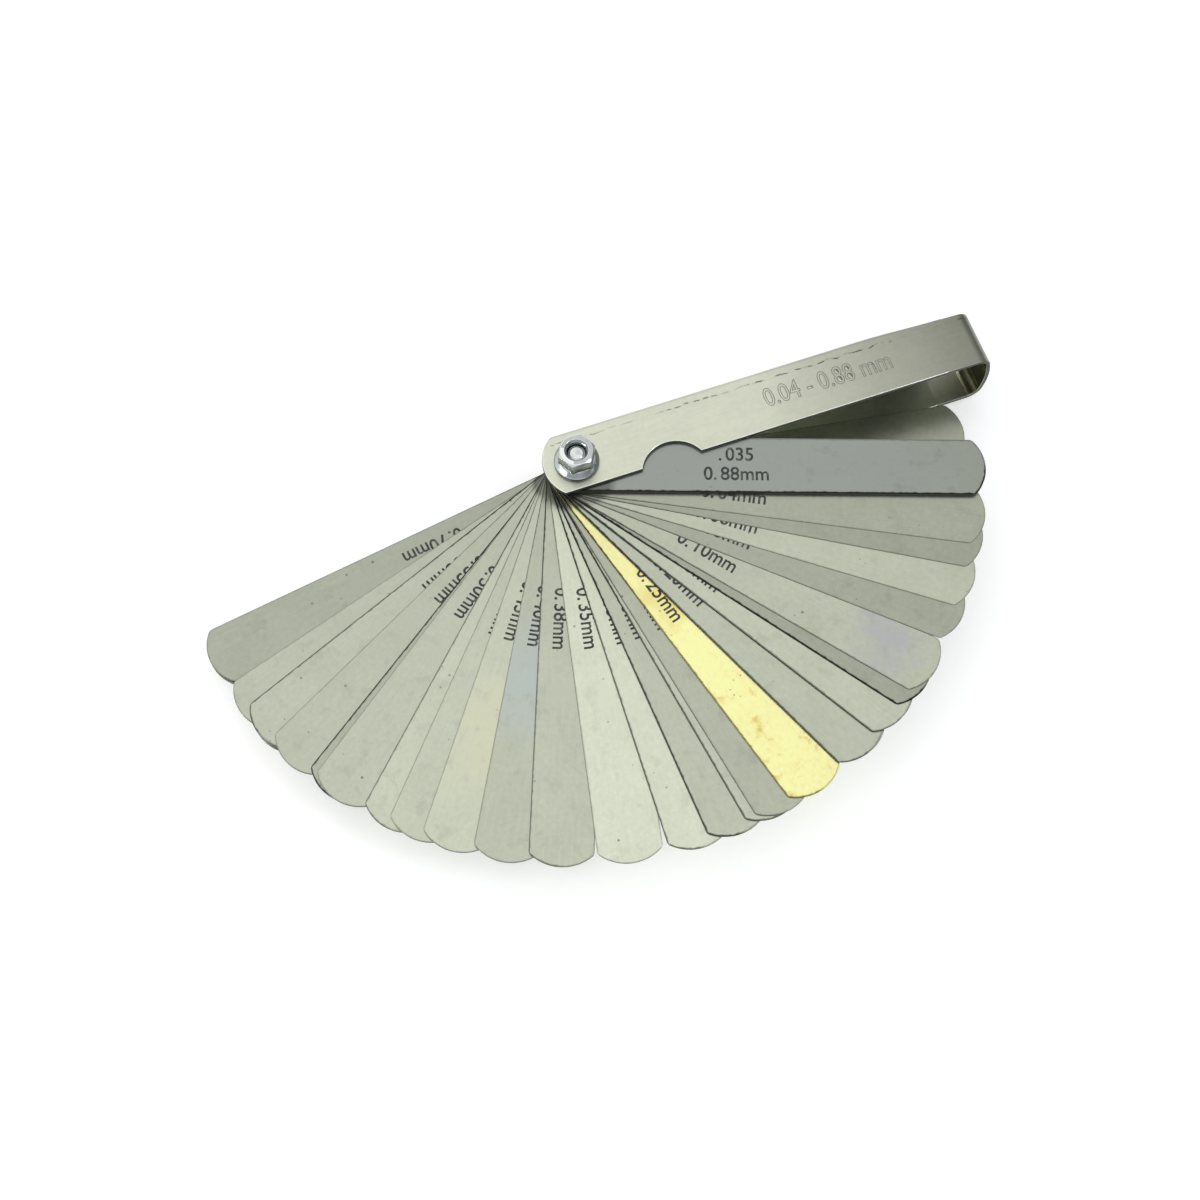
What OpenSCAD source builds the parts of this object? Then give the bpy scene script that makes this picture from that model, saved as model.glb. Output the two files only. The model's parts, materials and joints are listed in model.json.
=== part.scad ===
// Thickness (feeler) gauge: 32 spring leaves that turn on one screw, in a folded steel case.
// Frame: the screw's axis is Z, the case lies along +X on its base plate, and its open front faces -Y.
// The origin is where the screw's axis leaves the underside of the case.

/* [Leaves] */
// Width of every leaf
leaf_w = 12.7; // [10:0.1:12.8]
// Distance from the pivot to the tip of a leaf
leaf_reach = 84.7; // [60:0.1:85]
// Radius of the bowed tip
tip_r = 9; // [7:0.1:20]
// Radius of the two corners beside the tip
tip_corner_r = 1.3; // [0.6:0.1:2]
// Free play above and below each leaf
leaf_gap = 0.03; // [0.02:0.01:0.06]
// Play of a leaf's hole round the screw, on the radius
leaf_play = 0.05; // [0.02:0.01:0.1]

/* [Case] */
// Thickness of the sheet steel
sheet_t = 0.9; // [0.6:0.05:1.2]
// Distance from the pivot to the outermost point of the closed far end
case_reach = 91.7; // [90:0.1:100]
// Distance from the pivot to the tip of the rounded open end
nose_reach = 7.1; // [6.8:0.1:8]
// Radius of the rounded open end
nose_r = 8.75; // [8.6:0.05:12]
// Distance from the pivot's centre line to the open front edge
front_y = 6.2; // [5:0.1:6.3]
// Clear space between a closed leaf and the spine
spine_gap = 0.4; // [0.2:0.05:0.8]
// Where the spine stops, short of the far end
spine_end = 84.5; // [70:0.5:86]
// Radius of the far end's upper fold, outside
upper_fold_r = 3; // [2:0.1:4]
// Radius of the far end's lower fold, outside
lower_fold_r = 3.6; // [2:0.1:5]
// Radius of the bowed wall between the two folds, outside
bow_r = 22; // [15:0.5:60]

/* [Thumb notch] */
// Distance from the pivot to the middle of the notch
notch_x = 18.8; // [15:0.1:40]
// Radius of the notch
notch_r = 7.05; // [5:0.05:9]
// Depth of the notch, from the front edge
notch_depth = 4.2; // [2:0.1:5]

/* [Screw and nut] */
// Diameter of the pivot screw
screw_d = 4; // [3:0.5:5]
// Diameter of the screw's head
head_d = 7.6; // [7:0.1:9]
// Height of the screw's head
head_h = 2.2; // [1.6:0.1:3]
// Width of the slot in the head
slot_w = 1.1; // [0.8:0.1:1.6]
// Depth of the slot in the head
slot_depth = 1.1; // [0.6:0.1:1.4]
// How far the screw stands out of the case
screw_out = 3.8; // [3:0.1:6]
// Width of the nut across its flats
nut_flats = 7; // [6:0.5:10]
// Height of the nut
nut_h = 5; // [4:0.1:6]
// Diameter of the nut's flange
flange_d = 9.4; // [9:0.1:12]
// Thickness of the flange at its rim
flange_rim = 0.8; // [0.5:0.1:1.2]
// Height at which the flange's slope meets the hexagon
flange_h = 2; // [1.4:0.1:2.6]

/* [Hidden] */
// One row for each leaf, from the top of the stack down:
// name, thickness in thousandths of an inch, and how far it is swung out of the case, in degrees
LEAVES = [
    ["leaf_0_88", 35, 20],
    ["leaf_0_04", 1.5, 27.5],
    ["leaf_0_05", 2, 31.25],
    ["leaf_0_06", 2.5, 37.5],
    ["leaf_0_08", 3, 43],
    ["leaf_0_10", 4, 52],
    ["leaf_0_13", 5, 54.75],
    ["leaf_0_15", 6, 60],
    ["leaf_0_18", 7, 59.5],
    ["leaf_0_20", 8, 66.5],
    ["leaf_0_23", 9, 66],
    ["leaf_0_25_brass", 10, 75],
    ["leaf_0_25", 10, 80],
    ["leaf_0_28", 11, 81.5],
    ["leaf_0_30", 12, 87],
    ["leaf_0_33", 13, 92.5],
    ["leaf_0_35", 14, 102],
    ["leaf_0_38", 15, 111.25],
    ["leaf_0_40", 16, 118.75],
    ["leaf_0_43", 17, 126],
    ["leaf_0_45", 18, 131],
    ["leaf_0_48", 19, 135],
    ["leaf_0_50", 20, 143.25],
    ["leaf_0_53", 21, 144.5],
    ["leaf_0_55", 22, 151.75],
    ["leaf_0_58", 23, 157.75],
    ["leaf_0_60", 24, 157.5],
    ["leaf_0_63", 25, 157.25],
    ["leaf_0_65", 26, 162.5],
    ["leaf_0_70", 28, 171.5],
    ["leaf_0_75", 30, 171.25],
    ["leaf_0_80", 32, 9.25],
];

$fn = 64;
mm_per_thou = 0.0254;
half_w = leaf_w / 2;
screw_r = screw_d / 2;

// Heights, built up from the underside of the case
function leaf_t(i) = LEAVES[i][1] * mm_per_thou;
function depth_to(i) = i < 0 ? 0 : depth_to(i - 1) + leaf_gap + leaf_t(i);
bay_h = depth_to(len(LEAVES) - 1) + leaf_gap;
case_h = bay_h + 2 * sheet_t;
bay_top = case_h - sheet_t;

// The spine's fold starts level with the edge of a closed leaf
spine_inner_y = half_w + spine_gap;
spine_outer_y = spine_inner_y + sheet_t;
spine_low_z = 0.2;

hole_play = 0.1;
nut_play = 0.03;
screw_tip = 0.45;
head_edge = 0.3;
cut = 1;

// Points along an arc, from angle a0 to angle a1
function arc(centre, r, a0, a1, steps) =
    [for (i = [0 : steps]) let (a = a0 + (a1 - a0) * i / steps) centre + r * [cos(a), sin(a)]];

// Centre of a fold that is tangent to a plate and to the bowed end wall
bow_centre = [case_reach - bow_r, case_h / 2];
function fold_centre(r, z) =
    [bow_centre.x + sqrt((bow_r - r) ^ 2 - (z - bow_centre.y) ^ 2), z];
function angle_from(a, b) = atan2(b.y - a.y, b.x - a.x);

// Side view of the strip: one face of the sheet, at a depth inside the outer face
function strip_face(inset) =
    let (
        up = fold_centre(upper_fold_r, case_h - upper_fold_r),
        low = fold_centre(lower_fold_r, lower_fold_r),
        up_a = angle_from(bow_centre, up),
        low_a = angle_from(bow_centre, low)
    )
    concat(
        [[-nose_reach, case_h - inset]],
        arc(up, upper_fold_r - inset, 90, up_a, 10),
        arc(bow_centre, bow_r - inset, up_a, low_a, 6),
        arc(low, lower_fold_r - inset, low_a, -90, 10),
        [[-nose_reach, inset]]
    );

function reversed(p) = [for (i = [len(p) - 1 : -1 : 0]) p[i]];

// Outline of a leaf that points along +X, with the pivot at the origin
function leaf_outline() =
    let (
        tip_centre = [leaf_reach - tip_r, 0],
        corner_y = half_w - tip_corner_r,
        corner_x = tip_centre.x + sqrt((tip_r - tip_corner_r) ^ 2 - corner_y ^ 2),
        a = angle_from(tip_centre, [corner_x, corner_y])
    )
    concat(
        arc([0, 0], half_w, 90, 270, 28),
        arc([corner_x, -corner_y], tip_corner_r, -90, -a, 5),
        arc(tip_centre, tip_r, -a, a, 16),
        arc([corner_x, corner_y], tip_corner_r, a, 90, 5)
    );

// Base plate, closed far end and top plate: one strip, folded round
module folded_strip() {
    translate([0, half_w, 0])
        rotate([90, 0, 0])
            linear_extrude(height = half_w + front_y)
                polygon(concat(strip_face(0), reversed(strip_face(sheet_t))));
}

// Back wall, folded down from the top plate
module spine() {
    fold = [half_w, case_h - sheet_t - spine_gap];
    profile = concat(
        arc(fold, spine_gap + sheet_t, 90, 0, 8),
        [[spine_outer_y, spine_low_z], [spine_inner_y, spine_low_z]],
        arc(fold, spine_gap, 0, 90, 6)
    );
    translate([-nose_reach, 0, 0])
        rotate([90, 0, 90])
            linear_extrude(height = nose_reach + spine_end)
                polygon(profile);
}

// Everything that the rounded open end cuts off
module nose_waste() {
    difference() {
        translate([-nose_reach - cut, -front_y - cut, -cut])
            cube([nose_reach + cut, front_y + spine_outer_y + 2 * cut, case_h + 2 * cut]);
        translate([nose_r - nose_reach, 0, -2 * cut])
            cylinder(r = nose_r, h = case_h + 4 * cut);
    }
}

module case() {
    color("#c9cabd")
        difference() {
            union() {
                folded_strip();
                spine();
            }
            nose_waste();
            translate([notch_x, notch_depth - front_y - notch_r, -cut])
                cylinder(r = notch_r, h = case_h + 2 * cut);
            translate([0, 0, -cut])
                cylinder(r = screw_r + hole_play, h = case_h + 2 * cut);
        }
}

// Slotted cheese-head screw, with its head under the case
module pivot_screw() {
    shank = case_h + screw_out - screw_tip;
    color("#b4b7ba")
        difference() {
            union() {
                cylinder(r = screw_r, h = shank);
                translate([0, 0, shank])
                    cylinder(r1 = screw_r, r2 = screw_r - screw_tip, h = screw_tip);
                translate([0, 0, head_edge - head_h])
                    cylinder(d = head_d, h = head_h - head_edge);
                translate([0, 0, -head_h])
                    cylinder(r1 = head_d / 2 - head_edge, r2 = head_d / 2, h = head_edge);
            }
            translate([-head_d, -slot_w / 2, -head_h - cut])
                cube([2 * head_d, slot_w, slot_depth + cut]);
        }
}

// Hexagon nut with a sloped flange, chamfered and countersunk at its top
module flange_nut() {
    top_r = nut_flats / 2 - 0.15;
    chamfer = tan(30);
    sink = 0.5;
    color("#c3ccd2")
        translate([0, 0, case_h])
            difference() {
                union() {
                    intersection() {
                        cylinder(d = nut_flats / cos(30), h = nut_h, $fn = 6);
                        cylinder(r1 = top_r + nut_h / chamfer, r2 = top_r, h = nut_h);
                    }
                    cylinder(d = flange_d, h = flange_rim);
                    translate([0, 0, flange_rim])
                        cylinder(d1 = flange_d, d2 = nut_flats + 0.7, h = flange_h - flange_rim);
                }
                translate([0, 0, -cut])
                    cylinder(r = screw_r + nut_play, h = nut_h + 2 * cut);
                translate([0, 0, nut_h - sink])
                    cylinder(r1 = screw_r + nut_play, r2 = screw_r + nut_play + sink, h = sink);
            }
}

// One leaf of the stack, swung out of the case
module leaf(i) {
    brass = LEAVES[i][0] == "leaf_0_25_brass";
    color(brass ? "#d8c65a" : "#b3b8ae")
        translate([0, 0, bay_top - depth_to(i)])
            rotate([0, 0, -LEAVES[i][2]])
                difference() {
                    linear_extrude(height = leaf_t(i))
                        polygon(leaf_outline());
                    translate([0, 0, -cut])
                        cylinder(r = screw_r + leaf_play, h = leaf_t(i) + 2 * cut);
                }
}

case();
pivot_screw();
flange_nut();
for (i = [0 : len(LEAVES) - 1])
    leaf(i);
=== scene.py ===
import json
from math import cos, pi, radians, sin

import bmesh
import bpy
from mathutils import Matrix, Vector


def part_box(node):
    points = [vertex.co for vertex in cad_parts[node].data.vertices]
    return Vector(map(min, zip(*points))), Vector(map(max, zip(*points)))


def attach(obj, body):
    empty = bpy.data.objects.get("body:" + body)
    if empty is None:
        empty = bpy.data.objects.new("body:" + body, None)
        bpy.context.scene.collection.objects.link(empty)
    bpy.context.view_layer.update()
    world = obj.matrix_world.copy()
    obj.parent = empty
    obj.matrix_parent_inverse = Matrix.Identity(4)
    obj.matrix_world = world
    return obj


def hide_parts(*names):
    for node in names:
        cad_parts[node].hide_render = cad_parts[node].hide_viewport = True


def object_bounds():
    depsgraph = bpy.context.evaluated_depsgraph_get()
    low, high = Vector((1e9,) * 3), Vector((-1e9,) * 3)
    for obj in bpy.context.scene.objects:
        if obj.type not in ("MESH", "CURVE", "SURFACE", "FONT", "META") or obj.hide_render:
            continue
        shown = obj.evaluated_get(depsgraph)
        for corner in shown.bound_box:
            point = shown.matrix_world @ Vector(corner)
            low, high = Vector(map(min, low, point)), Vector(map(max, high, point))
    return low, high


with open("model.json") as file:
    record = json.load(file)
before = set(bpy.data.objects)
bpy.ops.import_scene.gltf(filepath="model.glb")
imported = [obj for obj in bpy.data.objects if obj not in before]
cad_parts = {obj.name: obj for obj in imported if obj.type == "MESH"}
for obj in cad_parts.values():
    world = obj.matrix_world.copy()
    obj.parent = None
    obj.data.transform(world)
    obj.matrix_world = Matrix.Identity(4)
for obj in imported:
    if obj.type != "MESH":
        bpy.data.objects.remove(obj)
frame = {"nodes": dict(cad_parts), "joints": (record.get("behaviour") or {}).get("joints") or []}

MM = 0.001
cad_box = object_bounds()
scene = bpy.context.scene

# ---------------------------------------------------------------------------------------------
# Camera
# It looks down on the fan from above the open front, with the case running up to the right.
view_azimuth = radians(-19.44)
view_elevation = radians(66.7)
view_distance = 399.1 * MM
aim = Vector((-4.1 * MM, -26.1 * MM, 3.1 * MM))
lens_mm = 57.8

back = Vector((
    sin(view_azimuth) * cos(view_elevation),
    -cos(view_azimuth) * cos(view_elevation),
    sin(view_elevation),
))
camera = bpy.data.objects.new("camera", bpy.data.cameras.new("camera"))
camera.data.lens = lens_mm
camera.data.clip_start = 0.01
camera.location = aim + back * view_distance
camera.rotation_euler = (-back).to_track_quat("-Z", "Y").to_euler()
scene.collection.objects.link(camera)
scene.camera = camera

# ---------------------------------------------------------------------------------------------
# Studio
# A white table top under the gauge, in a pale room that is brightest above and a little behind it.
# A long soft light stands low on the left, and a small cooler one on the right.
floor_side = 20.0
floor_white = (0.93, 0.93, 0.93, 1)
floor_glow = 0.4
floor_roughness = 0.9
room_bright = (1.0, 1.0, 1.0, 1)
room_dim = (0.48, 0.49, 0.50, 1)
room_strength = 1.12
right_side_share = 0.45
bright_toward = Vector((0.13, 0.37, 0.92))


def place(tree, kind, inputs=None, **settings):
    """Adds a node to a tree, with each of its inputs set to a value or linked from a socket."""
    made = tree.nodes.new(kind)
    for name, value in settings.items():
        setattr(made, name, value)
    for name, value in (inputs or {}).items():
        if isinstance(value, bpy.types.NodeSocket):
            tree.links.new(value, made.inputs[name])
        else:
            made.inputs[name].default_value = value
    return made


def shader_of(name):
    """A new material with its node tree and its main shader."""
    material = bpy.data.materials.new(name)
    material.use_nodes = True
    tree = material.node_tree
    return material, tree, tree.nodes["Principled BSDF"]


floor_mesh = bpy.data.meshes.new("table_top")
bm = bmesh.new()
bmesh.ops.create_grid(bm, x_segments=1, y_segments=1, size=floor_side / 2)
bmesh.ops.translate(bm, verts=bm.verts, vec=(0, 0, cad_box[0].z))
bm.to_mesh(floor_mesh)
bm.free()
floor = bpy.data.objects.new("table_top", floor_mesh)
scene.collection.objects.link(floor)
floor_paint, _, paint = shader_of("table_white")
paint.inputs["Base Color"].default_value = floor_white
paint.inputs["Roughness"].default_value = floor_roughness
paint.inputs["Emission Color"].default_value = floor_white
paint.inputs["Emission Strength"].default_value = floor_glow
floor_mesh.materials.append(floor_paint)

scene.view_settings.view_transform = "Standard"
room = bpy.data.worlds.new("room")
room.use_nodes = True
scene.world = room
sky = room.node_tree
sky.nodes.clear()
direction = place(sky, "ShaderNodeTexCoord").outputs["Generated"]
facing = place(
    sky, "ShaderNodeVectorMath", {0: direction, 1: bright_toward}, operation="DOT_PRODUCT"
).outputs["Value"]
rise = place(
    sky, "ShaderNodeMapRange", {"Value": facing, "From Min": 0.45, "From Max": 0.92},
    interpolation_type="SMOOTHSTEP",
).outputs["Result"]
walls = place(sky, "ShaderNodeMix", {0: rise, 6: room_dim, 7: room_bright}, data_type="RGBA")
toward = place(sky, "ShaderNodeSeparateXYZ", {"Vector": direction}).outputs
aside = place(sky, "ShaderNodeMapRange", {
    "Value": toward["X"], "From Min": 0.05, "From Max": 0.65,
    "To Min": room_strength, "To Max": room_strength * right_side_share,
})
glow = place(sky, "ShaderNodeBackground", {
    "Color": walls.outputs[2], "Strength": aside.outputs["Result"],
})
place(sky, "ShaderNodeOutputWorld", {"Surface": glow.outputs["Background"]})


def soft_light(name, place_at, sides, power, colour):
    """A soft light that faces the gauge and stays out of the picture itself."""
    lamp = bpy.data.lights.new(name, "AREA")
    lamp.shape = "RECTANGLE"
    lamp.size, lamp.size_y = sides
    lamp.energy = power
    lamp.color = colour
    holder = bpy.data.objects.new(name, lamp)
    holder.location = place_at
    holder.rotation_euler = (aim - Vector(place_at)).to_track_quat("-Z", "Y").to_euler()
    holder.visible_camera = False
    scene.collection.objects.link(holder)


soft_light(
    "left_light", place_at=(-0.93, -0.14, 0.12), sides=(0.62, 0.2), power=3.0,
    colour=(1.0, 1.0, 1.0),
)
soft_light(
    "right_light", place_at=(0.52, -0.39, 0.70), sides=(0.28, 0.28), power=1.3,
    colour=(0.82, 0.91, 1.0),
)

# ---------------------------------------------------------------------------------------------
# Case
# One strip of satin steel sheet, cut out with its thumb notch and folded round at the far end,
# with the back wall folded down from the top. The cut edges are near black, partly their dark
# finish and partly painted shade, and keep a small burr painted bright as a highlight. The
# range of the leaves is stamped into the top plate as outline lettering, with painted shade in its
# grooves.
case_edge = 0.22 * MM
back_wall_edge = 0.1 * MM
fold_start = 5.6 * MM
back_cut = 5.5 * MM
case_colour = (0.705, 0.727, 0.595, 1)
# Painted shade: the plate's colour towards the far end
case_far_shade_colour = (0.21, 0.217, 0.178, 1)
# Painted shade: the cut edges are a near-black non-metal, partly their dark sheared finish and partly
# the deep shade on them.
cut_finish_and_shade_colour = (0.05, 0.05, 0.045, 1)
# Painted highlight: the burr on the rounded cut edges is near white, for the bright line of light along
# them.
burr_highlight_colour = (0.93, 0.94, 0.84, 1)
inside_colour = (0.66, 0.64, 0.48, 1)
# Painted shade: the stamped grooves are coloured darker than the plate for the shade inside them.
groove_shade_colour = (0.30, 0.31, 0.26, 1)
scuff_colour = (0.06, 0.06, 0.05, 1)
case_speck_colour = (0.12, 0.12, 0.1, 1)
# The back wall is drawn in towards the far end by a share of its depth behind the plates
taper_start = 66 * MM
taper_end = 88 * MM
taper_steps = 6
taper_share = 0.8
plate_back = 6.36 * MM
# The far bend, and the lettering in the top plate
bend_start = 84 * MM
bend_clear = 85 * MM
stamp_text = "0.04 - 0.88 mm"
stamp_start = 42 * MM
stamp_length = 28.5 * MM
stamp_low = -1.2 * MM
stamp_height = 4.3 * MM
stamp_line = 0.1 * MM
stamp_depth = 0.08 * MM
same_point = 0.001 * MM
same_plane = radians(0.5)
sharp_turn = radians(35)


def merged_copy(node):
    """A copy of a frame node's mesh, with its loose triangles joined and its flat faces made whole."""
    bm = bmesh.new()
    bm.from_mesh(frame["nodes"][node].data)
    bmesh.ops.remove_doubles(bm, verts=bm.verts, dist=same_point)
    bmesh.ops.dissolve_limit(bm, angle_limit=same_plane, verts=bm.verts, edges=bm.edges)
    return bm


def round_edges(bm, radius, least_turn=30, wanted=None, clamp=True):
    """Rounds the edges that turn by more than an angle in degrees, or only the wanted ones of them."""
    sharp = [
        e for e in bm.edges
        if e.calc_face_angle(0) > radians(least_turn) and (wanted is None or wanted(e))
    ]
    bmesh.ops.bevel(
        bm, geom=sharp, offset=radius, offset_type="OFFSET", segments=2,
        profile=0.5, affect="EDGES", material=-1, clamp_overlap=clamp,
    )


def as_object(bm, name):
    """Turns a bmesh into a smooth-shaded object that stands at the origin."""
    mesh = bpy.data.meshes.new(name)
    for face in bm.faces:
        face.smooth = True
    bm.to_mesh(mesh)
    bm.free()
    mesh.set_sharp_from_angle(angle=sharp_turn)
    piece = bpy.data.objects.new(name, mesh)
    scene.collection.objects.link(piece)
    return piece


def flat_faces_flat(piece):
    """Keeps large flat faces evenly shaded up to their rounded edges."""
    weighted = piece.modifiers.new("even_shading", "WEIGHTED_NORMAL")
    weighted.keep_sharp = True


def baked(piece):
    """Applies a piece's modifiers to its mesh."""
    graph = bpy.context.evaluated_depsgraph_get()
    mesh = bpy.data.meshes.new_from_object(piece.evaluated_get(graph))
    piece.modifiers.clear()
    old = piece.data
    piece.data = mesh
    bpy.data.meshes.remove(old)


def cut_away(piece, cutter):
    """Cuts one shape out of a piece."""
    tool = piece.modifiers.new("cut", "BOOLEAN")
    tool.operation = "DIFFERENCE"
    tool.solver = "EXACT"
    tool.use_self = True
    tool.object = cutter
    baked(piece)
    bpy.data.objects.remove(cutter)


def letter_wires(text, x, y, length, height, wire_radius):
    """Round wires along the outlines of a line of lettering, which the stamp is cut with."""
    font = bpy.data.curves.new("lettering", "FONT")
    font.body = text
    font.resolution_u = 3
    lettering = bpy.data.objects.new("lettering", font)
    scene.collection.objects.link(lettering)
    bpy.ops.object.select_all(action="DESELECT")
    lettering.select_set(True)
    bpy.context.view_layer.objects.active = lettering
    bpy.ops.object.convert(target="CURVE")
    outline = lettering.data
    points = [p.co for s in outline.splines for p in s.bezier_points]
    left = min(p.x for p in points)
    wide = max(p.x for p in points) - left
    low = min(p.y for p in points)
    tall = max(p.y for p in points) - low
    fit = Matrix.Translation((x, y, 0))
    fit = fit @ Matrix.Diagonal((length / wide, height / tall, 1, 1))
    fit = fit @ Matrix.Translation((-left, -low, 0))
    outline.transform(fit)
    for spline in outline.splines:
        for point in spline.bezier_points:
            point.radius = 1
    outline.fill_mode = "NONE"
    outline.bevel_depth = wire_radius
    outline.bevel_resolution = 1
    graph = bpy.context.evaluated_depsgraph_get()
    wire_mesh = bpy.data.meshes.new_from_object(lettering.evaluated_get(graph))
    bpy.data.objects.remove(lettering)
    wires = bpy.data.objects.new("letter_wires", wire_mesh)
    scene.collection.objects.link(wires)
    return wires


def on_plates(edge):
    """Whether an edge is on the two plates or the far bend, clear of the folded back wall."""
    return all(v.co.y < fold_start or v.co.x > bend_clear for v in edge.verts)


def on_back_wall(edge):
    """Whether an edge is on the folded back wall."""
    return all(v.co.y >= fold_start and v.co.x <= bend_clear for v in edge.verts)


case_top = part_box("case")[1].z
bm = merged_copy("case")
for step in range(taper_steps):
    at = taper_start + (bend_start - taper_start) * step / taper_steps
    everything = bm.verts[:] + bm.edges[:] + bm.faces[:]
    bmesh.ops.bisect_plane(bm, geom=everything, plane_co=(at, 0, 0), plane_no=(1, 0, 0))
for vert in bm.verts:
    if vert.co.y > plate_back:
        run = min(1.0, max(0.0, (vert.co.x - taper_start) / (taper_end - taper_start)))
        narrowing = taper_share * run * run * (3 - 2 * run)
        vert.co.y = plate_back + (vert.co.y - plate_back) * (1 - narrowing)
round_edges(bm, case_edge, wanted=on_plates, clamp=False)
round_edges(bm, back_wall_edge, wanted=on_back_wall)
case = as_object(bm, "folded_case")
wires = letter_wires(
    stamp_text, stamp_start, stamp_low, stamp_length, stamp_height, stamp_line
)
wires.data.transform(Matrix.Translation((0, 0, case_top + stamp_line - stamp_depth)))
cut_away(case, wires)
case.data.set_sharp_from_angle(angle=sharp_turn)
flat_faces_flat(case)
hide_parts("case")
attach(case, "holder")


def new_group(name, inputs, outputs):
    """An empty shader group. Each input is (name, kind, value) and each output (name, kind)."""
    group = bpy.data.node_groups.new(name, "ShaderNodeTree")
    for label, kind, value in inputs:
        socket = group.interface.new_socket(label, in_out="INPUT", socket_type="NodeSocket" + kind)
        if value is not None:
            socket.default_value = value
    for label, kind in outputs:
        group.interface.new_socket(label, in_out="OUTPUT", socket_type="NodeSocket" + kind)
    return group


def mixed(tree, factor, a, b, blend="MIX"):
    """A mix of two colours."""
    inputs = {0: factor, 6: a, 7: b}
    return place(tree, "ShaderNodeMix", inputs, data_type="RGBA", blend_type=blend).outputs[2]


def sums(tree, operation, a, b=0.0, clamp=False):
    """One step of arithmetic on two values, held between 0 and 1 if asked."""
    return place(tree, "ShaderNodeMath", {0: a, 1: b}, operation=operation, use_clamp=clamp).outputs[0]


def ramped(tree, value, low, high, to_low=0.0, to_high=1.0):
    """A value moved from one range to another, and held inside it."""
    inputs = {"Value": value, "From Min": low, "From Max": high, "To Min": to_low, "To Max": to_high}
    return place(tree, "ShaderNodeMapRange", inputs).outputs["Result"]


def stretched(tree, vector, scale, offset=(0, 0, 0)):
    """Coordinates scaled by a factor on each axis, then moved."""
    inputs = {"Vector": vector, "Scale": scale, "Location": offset}
    return place(tree, "ShaderNodeMapping", inputs).outputs["Vector"]


# Cold-rolled sheet: soft blotches, a fine mottle, and streaks that run along the sheet.
rolled = new_group(
    "rolled_sheet",
    [("Vector", "Vector", None), ("Color", "Color", (0.5, 0.5, 0.5, 1)),
     ("Blotch", "Float", 0.08), ("Mottle", "Float", 0.06), ("Streak", "Float", 0.04),
     ("Roughness", "Float", 0.4)],
    [("Color", "Color"), ("Roughness", "Float"), ("Height", "Float")],
)
given = place(rolled, "NodeGroupInput").outputs
blotches = place(
    rolled, "ShaderNodeTexNoise", {"Vector": given["Vector"], "Scale": 110.0, "Detail": 3.0},
)
mottle = place(
    rolled, "ShaderNodeTexNoise",
    {"Vector": given["Vector"], "Scale": 900.0, "Detail": 4.0, "Roughness": 0.6},
)
along = stretched(rolled, given["Vector"], (60, 2600, 2600))
streaks = place(rolled, "ShaderNodeTexNoise", {"Vector": along, "Scale": 1.0, "Detail": 3.0})
tone = 1.0
for part, strength in ((blotches, "Blotch"), (mottle, "Mottle"), (streaks, "Streak")):
    centred = sums(rolled, "SUBTRACT", part.outputs["Fac"], 0.5)
    scaled = sums(rolled, "MULTIPLY", centred, given[strength])
    tone = sums(rolled, "ADD", tone, sums(rolled, "MULTIPLY", scaled, 4.0))
shade = place(rolled, "ShaderNodeCombineXYZ", {"X": tone, "Y": tone, "Z": tone}).outputs[0]
coloured = mixed(rolled, 1.0, given["Color"], shade, "MULTIPLY")
rough_swing = ramped(rolled, blotches.outputs["Fac"], 0.3, 0.7, -0.02, 0.02)
rough_fine = ramped(rolled, mottle.outputs["Fac"], 0.3, 0.7, -0.02, 0.02)
rough = sums(rolled, "ADD", given["Roughness"], sums(rolled, "ADD", rough_swing, rough_fine))
relief = sums(rolled, "ADD", mottle.outputs["Fac"], streaks.outputs["Fac"])
place(rolled, "NodeGroupOutput", {"Color": coloured, "Roughness": rough, "Height": relief})

# Sparse dark specks and pits, each a fraction of a millimetre across.
specks = new_group(
    "dark_specks",
    [("Vector", "Vector", None), ("Spacing", "Float", 260.0), ("Size", "Float", 0.07),
     ("Share", "Float", 0.4)],
    [("Mask", "Float")],
)
given = place(specks, "NodeGroupInput").outputs
cells = place(specks, "ShaderNodeTexVoronoi", {"Vector": given["Vector"], "Scale": given["Spacing"]})
pick = place(specks, "ShaderNodeSeparateColor", {"Color": cells.outputs["Color"]}).outputs["Red"]
chosen = sums(specks, "LESS_THAN", pick, given["Share"])
size = sums(specks, "MULTIPLY", sums(specks, "ADD", pick, 0.3), given["Size"])
share_of_size = sums(specks, "DIVIDE", cells.outputs["Distance"], size)
dot = ramped(specks, share_of_size, 0.6, 1.4, 1.0, 0.0)
place(specks, "NodeGroupOutput", {"Mask": sums(specks, "MULTIPLY", dot, chosen)})


def with_group(tree, group, inputs):
    """What a shader group puts out when it is placed in a material with its own values."""
    return place(tree, "ShaderNodeGroup", inputs, node_tree=group).outputs


def bumped(tree, shader, height, strength, distance):
    """Puts a height map on a shader as a bump."""
    inputs = {"Height": height, "Strength": strength, "Distance": distance}
    bump = place(tree, "ShaderNodeBump", inputs)
    tree.links.new(bump.outputs["Normal"], shader.inputs["Normal"])


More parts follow.
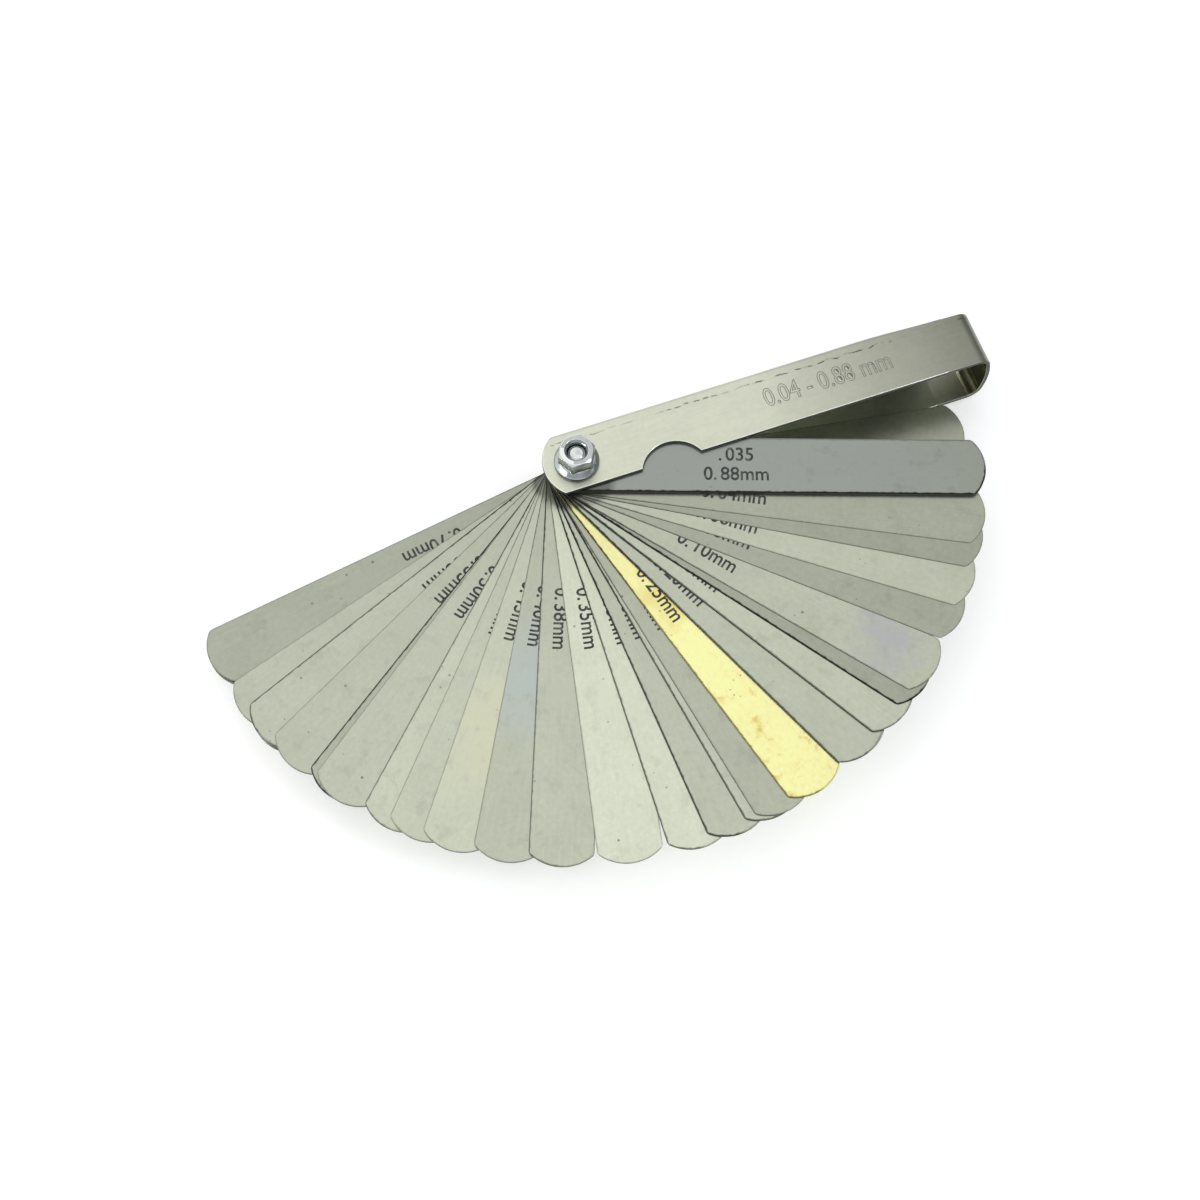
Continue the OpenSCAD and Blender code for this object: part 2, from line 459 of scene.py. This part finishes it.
def case_steel():
    """Warm satin plate, painted darker towards the far end as shade, scuffed where the top rolls over
    at the back.
    """
    material, tree, shader = shader_of("case_steel")
    where = place(tree, "ShaderNodeTexCoord").outputs["Object"]
    xyz = place(tree, "ShaderNodeSeparateXYZ", {"Vector": where}).outputs
    # Painted shade: the plate's colour darkens towards the far end, standing in for its darker
    # reflections there.
    far_shade_ramp = ramped(tree, xyz["X"], 40 * MM, 98 * MM)
    sheet = with_group(tree, rolled, {
        "Vector": where, "Color": mixed(tree, far_shade_ramp, case_colour, case_far_shade_colour),
        "Blotch": 0.04, "Mottle": 0.05, "Streak": 0.03, "Roughness": 0.36,
    })

    # The scuff is a broken line that wanders a little to each side as it follows the fold.
    wander = place(tree, "ShaderNodeTexNoise", {"Vector": where, "Scale": 330.0, "Detail": 4.0})
    line_at = ramped(tree, wander.outputs["Fac"], 0.25, 0.75, 4.75 * MM, 5.35 * MM)
    off_line = sums(tree, "ABSOLUTE", sums(tree, "SUBTRACT", xyz["Y"], line_at))
    band = ramped(tree, off_line, 0.06 * MM, 0.24 * MM, 0.85, 0.0)
    dashes = place(
        tree, "ShaderNodeTexNoise",
        {"Vector": stretched(tree, where, (1, 2.5, 1)), "Scale": 620.0, "Detail": 5.0},
    ).outputs["Fac"]
    runs = place(tree, "ShaderNodeTexNoise", {"Vector": where, "Scale": 75.0}).outputs["Fac"]
    scuff = sums(tree, "MULTIPLY", ramped(tree, dashes, 0.44, 0.56), ramped(tree, runs, 0.36, 0.52))
    scuff = sums(tree, "MULTIPLY", scuff, band)
    colour = mixed(tree, scuff, sheet["Color"], scuff_colour)

    dots = with_group(tree, specks, {"Vector": where, "Spacing": 300.0, "Size": 0.09, "Share": 0.2})
    colour = mixed(tree, sums(tree, "MULTIPLY", dots["Mask"], 0.5), colour, case_speck_colour)
    tree.links.new(colour, shader.inputs["Base Color"])
    tree.links.new(sheet["Roughness"], shader.inputs["Roughness"])
    shader.inputs["Metallic"].default_value = 1.0
    bumped(tree, shader, sheet["Height"], 0.12, 0.05 * MM)
    return material


def cut_steel(name, colour, roughness, metallic=1.0):
    """A sheared edge, a burr or a groove, with fine mottling."""
    material, tree, shader = shader_of(name)
    where = place(tree, "ShaderNodeTexCoord").outputs["Object"]
    sheet = with_group(tree, rolled, {
        "Vector": where, "Color": colour, "Blotch": 0.08, "Mottle": 0.14, "Streak": 0.0,
        "Roughness": roughness,
    })
    tree.links.new(sheet["Color"], shader.inputs["Base Color"])
    tree.links.new(sheet["Roughness"], shader.inputs["Roughness"])
    shader.inputs["Metallic"].default_value = metallic
    bumped(tree, shader, sheet["Height"], 0.3, 0.05 * MM)
    return material


def bend_inside():
    """The far bend's inner face, which handling hasn't dulled."""
    material, tree, shader = shader_of("case_inside")
    where = place(tree, "ShaderNodeTexCoord").outputs["Object"]
    sheet = with_group(tree, rolled, {
        "Vector": where, "Color": inside_colour, "Blotch": 0.05, "Mottle": 0.05, "Roughness": 0.14,
    })
    tree.links.new(sheet["Color"], shader.inputs["Base Color"])
    tree.links.new(sheet["Roughness"], shader.inputs["Roughness"])
    shader.inputs["Metallic"].default_value = 1.0
    return material


case.data.materials.clear()
for finish in (
    case_steel(),
    cut_steel("case_cut_edge_and_shade", cut_finish_and_shade_colour, 0.5, 0.0),
    bend_inside(),
    cut_steel("stamp_groove_shade", groove_shade_colour, 0.45),
    cut_steel("case_burr_highlight", burr_highlight_colour, 0.26),
):
    case.data.materials.append(finish)
SATIN, CUT_AND_SHADE, INSIDE, GROOVE_SHADE, BURR_HIGHLIGHT = range(5)
groove_top = case_top - 0.01 * MM
groove_floor = case_top - stamp_depth - 0.02 * MM
stamp_end = stamp_start + stamp_length
for face in case.data.polygons:
    at = face.center
    facing = face.normal
    before_bend = at.x < bend_start
    in_stamp = stamp_start - MM < at.x < stamp_end + MM and abs(at.y) < back_cut
    if in_stamp and groove_floor < at.z < groove_top:
        face.material_index = GROOVE_SHADE
    # Painted highlight on the rounded tops of the cut edges.
    elif before_bend and at.y < back_cut and 0.7 < facing.z < 0.99:
        face.material_index = BURR_HIGHLIGHT
    elif before_bend and at.y < back_cut and abs(facing.z) < 0.7:
        face.material_index = CUT_AND_SHADE
    elif not before_bend and abs(facing.y) > 0.9:
        face.material_index = CUT_AND_SHADE
    elif not before_bend and facing.x < -0.1:
        face.material_index = INSIDE
    else:
        face.material_index = SATIN

# ---------------------------------------------------------------------------------------------
# Leaves
# Thirty-two blanks of rolled sheet, one of brass and the rest of spring steel, stacked on the
# pivot screw. Each has a bowed tip, a hole, tumbled edges, and its size in both units printed near
# the hole. Each has its own tone, stains and dirt, and its tone, its dark edges and edge lines and
# the darkening next to the pivot are in part painted light and shade.
leaf_half = 6.35 * MM
tip_radius = 9 * MM
tip_centre = 75.7 * MM
largest_edge = 0.07 * MM
edge_share = 0.25
steel_colour = (0.625, 0.66, 0.532, 1)
brass_colour = (1.0, 0.97, 0.46, 1)
# Painted shade: steel leaf edges are a near-black non-metal, partly their dark ground finish and partly
# the deep shade between the stacked leaves.
edge_steel_finish_and_shade = (0.03, 0.03, 0.027, 1)
edge_brass = (0.42, 0.34, 0.12, 1)
brass_smudge = (0.74, 0.52, 0.11, 1)
smudge_shade = 0.78
leaf_speck_colour = (0.1, 0.1, 0.08, 1)
pit_colour = (0.12, 0.11, 0.08, 1)
# The colour a leaf darkens towards near the pivot
toward_pivot_colour = (0.2, 0.21, 0.18, 1)
# Painted shade and dirt: the near-black line along each leaf's outline
dirt_and_shade_colour = (0.02, 0.02, 0.018, 1)
# Painted shade and grime next to the pivot, where the leaves run under the case
pivot_grime_and_shade_colour = (0.03, 0.03, 0.026, 1)
ink_colour = (0.045, 0.047, 0.042, 1)
worn_ink_colour = (0.18, 0.185, 0.165, 1)
usual_dirt_and_shade = 0.45
# The two lines of print, and how far their ink stands up from the leaf
mark_centre = 33.0 * MM
mark_height = 3.15 * MM
inch_across = 2.5 * MM
metric_across = -2.0 * MM
mark_stretch = 0.93
word_gap = 0.55
mark_boldness = 0.014
mark_rise = 0.006 * MM
mark_lift = 0.4
same_print_point = 0.0001 * MM

# Dirt and painted shade along the long edges and the bowed tip of a leaf, from its own flat map: a dark
# line that stands partly for dirt and partly for the shade where the leaves overlap.
dirt_and_shade_border = new_group(
    "edge_dirt_and_shade",
    [("Vector", "Vector", None), ("Width", "Float", 0.25 * MM), ("Core", "Float", 1.0)],
    [("Mask", "Float")],
)
given = place(dirt_and_shade_border, "NodeGroupInput").outputs
flat = place(dirt_and_shade_border, "ShaderNodeSeparateXYZ", {"Vector": given["Vector"]}).outputs
side_gap = sums(dirt_and_shade_border, "SUBTRACT", leaf_half, sums(dirt_and_shade_border, "ABSOLUTE", flat["Y"]))
past = sums(dirt_and_shade_border, "MAXIMUM", sums(dirt_and_shade_border, "SUBTRACT", flat["X"], tip_centre), 0.0)
squares = sums(dirt_and_shade_border, "ADD", sums(dirt_and_shade_border, "POWER", past, 2.0), sums(dirt_and_shade_border, "POWER", flat["Y"], 2.0))
tip_gap = sums(dirt_and_shade_border, "SUBTRACT", tip_radius, sums(dirt_and_shade_border, "SQRT", squares))
gap = sums(dirt_and_shade_border, "MINIMUM", side_gap, tip_gap)
rag = place(dirt_and_shade_border, "ShaderNodeTexNoise", {"Vector": given["Vector"], "Scale": 700.0}).outputs["Fac"]
gap = sums(dirt_and_shade_border, "MULTIPLY", gap, ramped(dirt_and_shade_border, rag, 0.2, 0.8, 0.6, 1.5))
near = place(dirt_and_shade_border, "ShaderNodeMapRange", {
    "Value": gap, "From Min": 0.0, "From Max": given["Width"], "To Min": 1.0, "To Max": 0.0,
}).outputs["Result"]
place(dirt_and_shade_border, "NodeGroupOutput", {"Mask": sums(dirt_and_shade_border, "MULTIPLY", near, given["Core"], True)})


def leaf_face(name, colour, turn, dirt_and_shade_level, stain, smudge_colour, smudge_strength, smudge_start, pit_share):
    """The rolled face of one leaf, with its tone, specks, smudges, stain, a border of dirt and painted
    shade, and painted shade and grime next to the pivot.
    """
    material, tree, shader = shader_of(name)
    flat = place(tree, "ShaderNodeUVMap", uv_map="blank").outputs["UV"]
    shifted = stretched(tree, flat, (1, 1, 1), (0.37 * turn, 0.19 * turn, 0))
    place_on_leaf = place(tree, "ShaderNodeSeparateXYZ", {"Vector": flat}).outputs
    along = place_on_leaf["X"]
    sheet = with_group(tree, rolled, {
        "Vector": shifted, "Color": colour, "Blotch": 0.05, "Mottle": 0.07, "Streak": 0.03,
        "Roughness": 0.33,
    })
    dots = with_group(tree, specks, {"Vector": shifted, "Spacing": 330.0, "Size": 0.22, "Share": 0.14})
    specked = sums(tree, "MULTIPLY", dots["Mask"], 0.75)
    colour = mixed(tree, specked, sheet["Color"], leaf_speck_colour)

    # One stain, with a ragged outline.
    stain_colour, (stain_x, stain_y), stain_size = stain
    stain_at = (stain_x * MM, stain_y * MM, 0)
    centre = place(tree, "ShaderNodeVectorMath", {0: flat, 1: stain_at}, operation="DISTANCE")
    cloud = place(
        tree, "ShaderNodeTexNoise", {"Vector": shifted, "Scale": 170.0, "Detail": 5.0}
    ).outputs["Fac"]
    rag = sums(tree, "MULTIPLY", sums(tree, "SUBTRACT", cloud, 0.5), 18 * MM)
    spot = place(tree, "ShaderNodeMapRange", {
        "Value": sums(tree, "ADD", centre.outputs["Value"], rag),
        "From Min": 0.1 * stain_size * MM, "From Max": stain_size * MM, "To Min": 0.65, "To Max": 0.0,
    }, interpolation_type="SMOOTHSTEP").outputs["Result"]
    colour = mixed(tree, spot, colour, stain_colour)

    # Darker towards the pivot, then smudges and patches of pits towards the tip.
    toward_pivot_darkening = sums(tree, "MULTIPLY", ramped(tree, along, 12 * MM, 46 * MM, 1.0, 0.0), 0.13)
    colour = mixed(tree, toward_pivot_darkening, colour, toward_pivot_colour)
    smudge = place(
        tree, "ShaderNodeTexNoise",
        {"Vector": shifted, "Scale": 240.0, "Detail": 7.0, "Roughness": 0.62},
    ).outputs["Fac"]
    smudge = ramped(tree, smudge, 0.55, 0.66, 0.0, smudge_strength)
    tipwards = ramped(tree, along, smudge_start, smudge_start + 10 * MM, 0.15, 1.0)
    colour = mixed(tree, sums(tree, "MULTIPLY", smudge, tipwards), colour, smudge_colour)
    pits = with_group(tree, specks, {
        "Vector": shifted, "Spacing": 800.0, "Size": 0.28, "Share": pit_share,
    })
    patches = place(tree, "ShaderNodeTexNoise", {"Vector": shifted, "Scale": 95.0}).outputs["Fac"]
    pitted = sums(tree, "MULTIPLY", pits["Mask"], ramped(tree, patches, 0.52, 0.62, 0.0, 0.7))
    colour = mixed(tree, pitted, colour, pit_colour)

    # Dirt and painted shade along the outline, most on the edge that leads when the leaf is swung out,
    # where the dark line of shade shows.
    rim_dirt_and_shade = with_group(tree, dirt_and_shade_border, {
        "Vector": flat, "Width": (0.18 + 0.32 * dirt_and_shade_level) * MM, "Core": 1 + dirt_and_shade_level * dirt_and_shade_level,
    })
    leading = ramped(tree, place_on_leaf["Y"], -1 * MM, 1 * MM, dirt_and_shade_level, min(dirt_and_shade_level, 0.4))
    by_pivot = ramped(tree, along, 12 * MM, 40 * MM, 0.3, 0.0)
    dirt_and_shade_mask = sums(tree, "MULTIPLY", rim_dirt_and_shade["Mask"], sums(tree, "ADD", by_pivot, leading, True))
    colour = mixed(tree, dirt_and_shade_mask, colour, dirt_and_shade_colour)
    # Painted shade and grime: the leaf is darkened next to the pivot, under the edge of the case.
    ragged = ramped(tree, cloud, 0.35, 0.65, -0.6 * MM, 0.6 * MM)
    grime_and_shade = ramped(tree, sums(tree, "ADD", along, ragged), 6.3 * MM, 8.4 * MM, 0.55, 0.0)
    colour = mixed(tree, grime_and_shade, colour, pivot_grime_and_shade_colour)

    tree.links.new(colour, shader.inputs["Base Color"])
    tree.links.new(sheet["Roughness"], shader.inputs["Roughness"])
    shader.inputs["Metallic"].default_value = 1.0
    bumped(tree, shader, sheet["Height"], 0.1, 0.02 * MM)
    return material


def print_ink():
    """Dark print, greyer where it has worn."""
    material, tree, shader = shader_of("print_ink")
    where = place(tree, "ShaderNodeTexCoord").outputs["Object"]
    wear = place(tree, "ShaderNodeTexNoise", {"Vector": where, "Scale": 650.0, "Detail": 3.0})
    worn = ramped(tree, wear.outputs["Fac"], 0.5, 0.72)
    colour = mixed(tree, worn, ink_colour, worn_ink_colour)
    tree.links.new(colour, shader.inputs["Base Color"])
    shader.inputs["Roughness"].default_value = 0.7
    bumped(tree, shader, wear.outputs["Fac"], 0.2, 0.01 * MM)
    return material


ink = print_ink()
# Steel leaf edges carry painted shade as well as their dark finish.
steel_edge_finish_and_shade = cut_steel("leaf_cut_edge_and_shade", edge_steel_finish_and_shade, 0.45, 0.0)
brass_edge = cut_steel("brass_cut_edge", edge_brass, 0.4)


def printed(bm, text, swing, across, top):
    """Adds one line of print to a mesh, lying on top of a leaf that is swung out by an angle.

    A point is followed by a gap, as on the real leaves.
    """
    font = bpy.data.curves.new("print", "FONT")
    font.body = text.replace(".", ". ")
    font.resolution_u = 4
    font.space_word = word_gap
    font.extrude = 0.5
    font.offset = mark_boldness
    line = bpy.data.objects.new("print", font)
    scene.collection.objects.link(line)
    bpy.context.view_layer.update()
    graph = bpy.context.evaluated_depsgraph_get()
    mesh = bpy.data.meshes.new_from_object(line.evaluated_get(graph))
    left = min(v.co.x for v in mesh.vertices)
    right = max(v.co.x for v in mesh.vertices)
    low = min(v.co.y for v in mesh.vertices)
    high = max(v.co.y for v in mesh.vertices)
    size = mark_height / (high - low)
    fit = Matrix.Rotation(-swing, 4, "Z") @ Matrix.Translation((mark_centre, across, top))
    fit = fit @ Matrix.Diagonal((size * mark_stretch, size, mark_rise, 1))
    fit = fit @ Matrix.Translation((-(left + right) / 2, -(low + high) / 2, mark_lift))
    mesh.transform(fit)
    bm.from_mesh(mesh)
    bpy.data.objects.remove(line)
    bpy.data.meshes.remove(mesh)


# Size in millimetres, size in inches, and how bright the leaf's metal is against its usual colour,
# partly its own tone and partly painted light and shade for how it catches the light at its swing
LEAVES = [
    ("0_88", ".035", 0.58), ("0_04", ".0015", 0.70), ("0_05", ".002", 0.64), ("0_06", ".0025", 0.90),
    ("0_08", ".003", 0.68), ("0_10", ".004", 0.86), ("0_13", ".005", 0.64), ("0_15", ".006", 0.92),
    ("0_18", ".007", 0.88), ("0_20", ".008", 0.86), ("0_23", ".009", 0.88), ("0_25_brass", ".010", 1),
    ("0_25", ".010", 0.76), ("0_28", ".011", 0.88), ("0_30", ".012", 0.84), ("0_33", ".013", 1.08),
    ("0_35", ".014", 1.10), ("0_38", ".015", 0.84), ("0_40", ".016", 0.80), ("0_43", ".017", 0.92),
    ("0_45", ".018", 0.86), ("0_48", ".019", 0.90), ("0_50", ".020", 0.82), ("0_53", ".021", 0.68),
    ("0_55", ".022", 0.78), ("0_58", ".023", 0.80), ("0_60", ".024", 0.88), ("0_63", ".025", 0.88),
    ("0_65", ".026", 0.78), ("0_70", ".028", 0.64), ("0_75", ".030", 0.80), ("0_80", ".032", 0.72),
]
swings = {j["child"]: radians(j["range_deg"][1]) for j in frame["joints"]}
# How strong each leaf's edge line of dirt and painted shade is
dirt_and_shade_edges = {
    "0_88": 1.0, "0_13": 1.0, "0_10": 0.6, "0_15": 0.7, "0_28": 0.8, "0_30": 0.9, "0_53": 0.9,
    "0_58": 0.8, "0_38": 0.7, "0_48": 0.7, "0_33": 0.8, "0_20": 0.8, "0_25_brass": 0.8,
}
# Colour of a leaf's stain, its place along and across the leaf, and its radius, in millimetres
stains = {
    "0_88": ((0.355, 0.385, 0.38, 1), (38, 0), 95),
    "0_10": ((0.48, 0.48, 0.53, 1), (73, 0.5), 10),
    "0_40": ((0.47, 0.53, 0.53, 1), (46, -1), 20),
    "0_43": ((0.66, 0.66, 0.47, 1), (60, 1), 20),
    "0_25_brass": ((0.84, 0.68, 0.2, 1), (34, 1.5), 11),
}
FACE, EDGE = range(2)
for turn, (size_name, inches, tone_and_light) in enumerate(LEAVES, start=1):
    body = "leaf_" + size_name
    is_brass = size_name.endswith("brass")
    low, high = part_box(body)
    swing = swings[body]
    bm = merged_copy(body)
    round_edges(bm, min(largest_edge, edge_share * (high.z - low.z)))
    flat_map = bm.loops.layers.uv.new("blank")
    for face in bm.faces:
        face.material_index = FACE if abs(face.normal.z) > 0.9 else EDGE
        for corner in face.loops:
            x, y = corner.vert.co.xy
            corner[flat_map].uv = (x * cos(swing) - y * sin(swing), x * sin(swing) + y * cos(swing))
    leaf = as_object(bm, "blade_" + size_name)
    flat_faces_flat(leaf)
    usual = brass_colour if is_brass else steel_colour
    # Painted light and shade: each leaf's colour is scaled by its brightness from the table, which is
    # partly how it catches the light where it lies in the fan.
    colour = (*(min(1.0, c * tone_and_light) for c in usual[:3]), 1)
    no_stain = (colour, (50, 0), 5)
    face_finish = leaf_face(
        "face_" + size_name, colour, turn, dirt_and_shade_edges.get(size_name, usual_dirt_and_shade),
        stains.get(size_name, no_stain),
        smudge_colour=brass_smudge if is_brass else (*(smudge_shade * c for c in colour[:3]), 1),
        smudge_strength=0.8 if is_brass else 0.45,
        smudge_start=52 * MM if is_brass else 40 * MM,
        pit_share=0.45 if is_brass else 0.18,
    )
    leaf.data.materials.append(face_finish)
    leaf.data.materials.append(brass_edge if is_brass else steel_edge_finish_and_shade)
    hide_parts(body)
    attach(leaf, body)

    millimetres = size_name[:4].replace("_", ".") + "mm"
    bm = bmesh.new()
    printed(bm, inches, swing, inch_across, high.z)
    printed(bm, millimetres, swing, metric_across, high.z)
    bmesh.ops.remove_doubles(bm, verts=bm.verts, dist=same_print_point)
    mark = as_object(bm, "size_print_" + size_name)
    mark.data.materials.append(ink)
    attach(mark, body)

# ---------------------------------------------------------------------------------------------
# Pivot screw
# A slotted cheese-head screw, turned and zinc plated, put in from under the case.
# Its plain shank carries the leaves, and the thread at its end takes the nut.
screw_radius = 2.0 * MM
screw_edge = 0.12 * MM
screw_end_share = 0.86
thread_pitch = 0.7 * MM
thread_depth = 0.3 * MM
thread_steps = 48
cutter_wall = 1.0 * MM
zinc_colour = (0.54, 0.57, 0.56, 1)
cloudy_zinc = (0.42, 0.46, 0.48, 1)
# Painted highlight: near-white zinc for the nut's top and the screw's end, partly rubbed metal and
# partly the light they face.
rubbed_and_lit_zinc = (0.86, 0.88, 0.85, 1)
# Painted shade: a darker copy of the zinc for the nut's upright sides
shaded_zinc = (0.24, 0.26, 0.26, 1)
zinc_speck_colour = (0.2, 0.21, 0.22, 1)
zinc_grime_and_shade_colour = (0.02, 0.022, 0.02, 1)


def zinc(name, roughness, colour, cloud_colour, grime_and_shade_low=0.0, grime_and_shade_high=0.0):
    """Zinc plate with faint cloudy marks, and grime and painted shade between two heights, thickest at
    the lower.
    """
    material, tree, shader = shader_of(name)
    where = place(tree, "ShaderNodeTexCoord").outputs["Object"]
    cloud = place(
        tree, "ShaderNodeTexNoise", {"Vector": where, "Scale": 520.0, "Detail": 4.0}
    ).outputs["Fac"]
    colour = mixed(tree, ramped(tree, cloud, 0.35, 0.65), colour, cloud_colour)
    dots = with_group(tree, specks, {"Vector": where, "Spacing": 1500.0, "Size": 0.2, "Share": 0.25})
    colour = mixed(tree, sums(tree, "MULTIPLY", dots["Mask"], 0.4), colour, zinc_speck_colour)
    # Painted shade and grime: darker low down, where the sides meet the flange.
    if grime_and_shade_high > grime_and_shade_low:
        height = place(tree, "ShaderNodeSeparateXYZ", {"Vector": where}).outputs["Z"]
        grime_and_shade = ramped(tree, height, grime_and_shade_low, grime_and_shade_high, 1.0, 0.0)
        grime_and_shade = sums(tree, "MULTIPLY", grime_and_shade, ramped(tree, cloud, 0.3, 0.6, 1.3, 0.7), True)
        colour = mixed(tree, grime_and_shade, colour, zinc_grime_and_shade_colour)
    rough = ramped(tree, cloud, 0.3, 0.7, roughness - 0.05, roughness + 0.08)
    tree.links.new(colour, shader.inputs["Base Color"])
    tree.links.new(rough, shader.inputs["Roughness"])
    shader.inputs["Metallic"].default_value = 1.0
    bumped(tree, shader, cloud, 0.12, 0.05 * MM)
    return material


def thread_rings(name, radius, depth, z_low, z_high, wall_radius):
    """A closed ring tool whose wall rises and falls once a pitch between two radii."""
    bm = bmesh.new()
    turns = int((z_high - z_low) / thread_pitch)
    z_end = z_low + turns * thread_pitch
    profile = [bm.verts.new((wall_radius, 0, z_low))]
    for turn in range(turns):
        z = z_low + turn * thread_pitch
        profile.append(bm.verts.new((radius, 0, z)))
        profile.append(bm.verts.new((radius + depth, 0, z + thread_pitch / 2)))
    profile.append(bm.verts.new((radius, 0, z_end)))
    profile.append(bm.verts.new((wall_radius, 0, z_end)))
    edges = [bm.edges.new(pair) for pair in zip(profile, profile[1:] + profile[:1])]
    bmesh.ops.spin(
        bm, geom=profile + edges, cent=(0, 0, 0), axis=(0, 0, 1), angle=2 * pi,
        steps=thread_steps, use_merge=True,
    )
    bmesh.ops.recalc_face_normals(bm, faces=bm.faces)
    return as_object(bm, name)


screw_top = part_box("pivot_screw")[1].z
nut_low, nut_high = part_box("flange_nut")
bm = merged_copy("pivot_screw")
for vert in bm.verts:
    if vert.co.z > screw_top - 0.01 * MM:
        vert.co.xy *= screw_end_share
round_edges(bm, screw_edge)
screw = as_object(bm, "slotted_screw")
groove_start = screw_radius + 0.1 * MM
screw_cutter = thread_rings(
    "screw_thread", groove_start, -thread_depth - 0.1 * MM, nut_low.z + 0.2 * MM, screw_top,
    screw_radius + cutter_wall,
)
cut_away(screw, screw_cutter)
screw.data.set_sharp_from_angle(angle=sharp_turn)
flat_faces_flat(screw)
screw.data.materials.clear()
screw.data.materials.append(zinc("screw_zinc", 0.24, zinc_colour, cloudy_zinc))
screw.data.materials.append(zinc("screw_end", 0.28, rubbed_and_lit_zinc, zinc_colour))
TURNED, END = range(2)
for face in screw.data.polygons:
    at_end = face.normal.z > 0.9 and face.center.z > screw_top - 0.2 * MM
    face.material_index = END if at_end else TURNED
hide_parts("pivot_screw")
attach(screw, "holder")

# ---------------------------------------------------------------------------------------------
# Flange nut
# A zinc-plated hexagon nut with its own sloped flange, chamfered at the top and painted bright
# there, partly as spanner wear and partly as highlight, while its sides are painted darker as shade. It
# clamps the stack through the case's top plate.
nut_edge = 0.1 * MM
nut_least_turn = 24
bore_radius = 2.03 * MM

bm = merged_copy("flange_nut")
round_edges(bm, nut_edge, nut_least_turn)
nut = as_object(bm, "hexagon_nut")
nut_cutter = thread_rings(
    "nut_thread", bore_radius, thread_depth, nut_low.z + 0.3 * MM, nut_high.z - 0.45 * MM,
    bore_radius - cutter_wall,
)
cut_away(nut, nut_cutter)
nut.data.set_sharp_from_angle(angle=sharp_turn)
flat_faces_flat(nut)
nut.data.materials.clear()
nut.data.materials.append(zinc("nut_zinc", 0.13, zinc_colour, cloudy_zinc))
nut.data.materials.append(zinc("nut_top", 0.24, rubbed_and_lit_zinc, rubbed_and_lit_zinc))
# The nut's upright sides carry painted shade, darkest low down by the flange.
nut.data.materials.append(zinc(
    "nut_sides_shaded", 0.2, shaded_zinc, zinc_colour, nut_low.z + 0.9 * MM, nut_low.z + 4.2 * MM,
))
PLATED, TOP, SIDES = range(3)
for face in nut.data.polygons:
    outside_bore = face.center.xy.length > bore_radius
    if face.normal.z > 0.8 and face.center.z > nut_high.z - 0.4 * MM and outside_bore:
        face.material_index = TOP
    elif abs(face.normal.z) < 0.4:
        face.material_index = SIDES
    else:
        face.material_index = PLATED
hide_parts("flange_nut")
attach(nut, "holder")
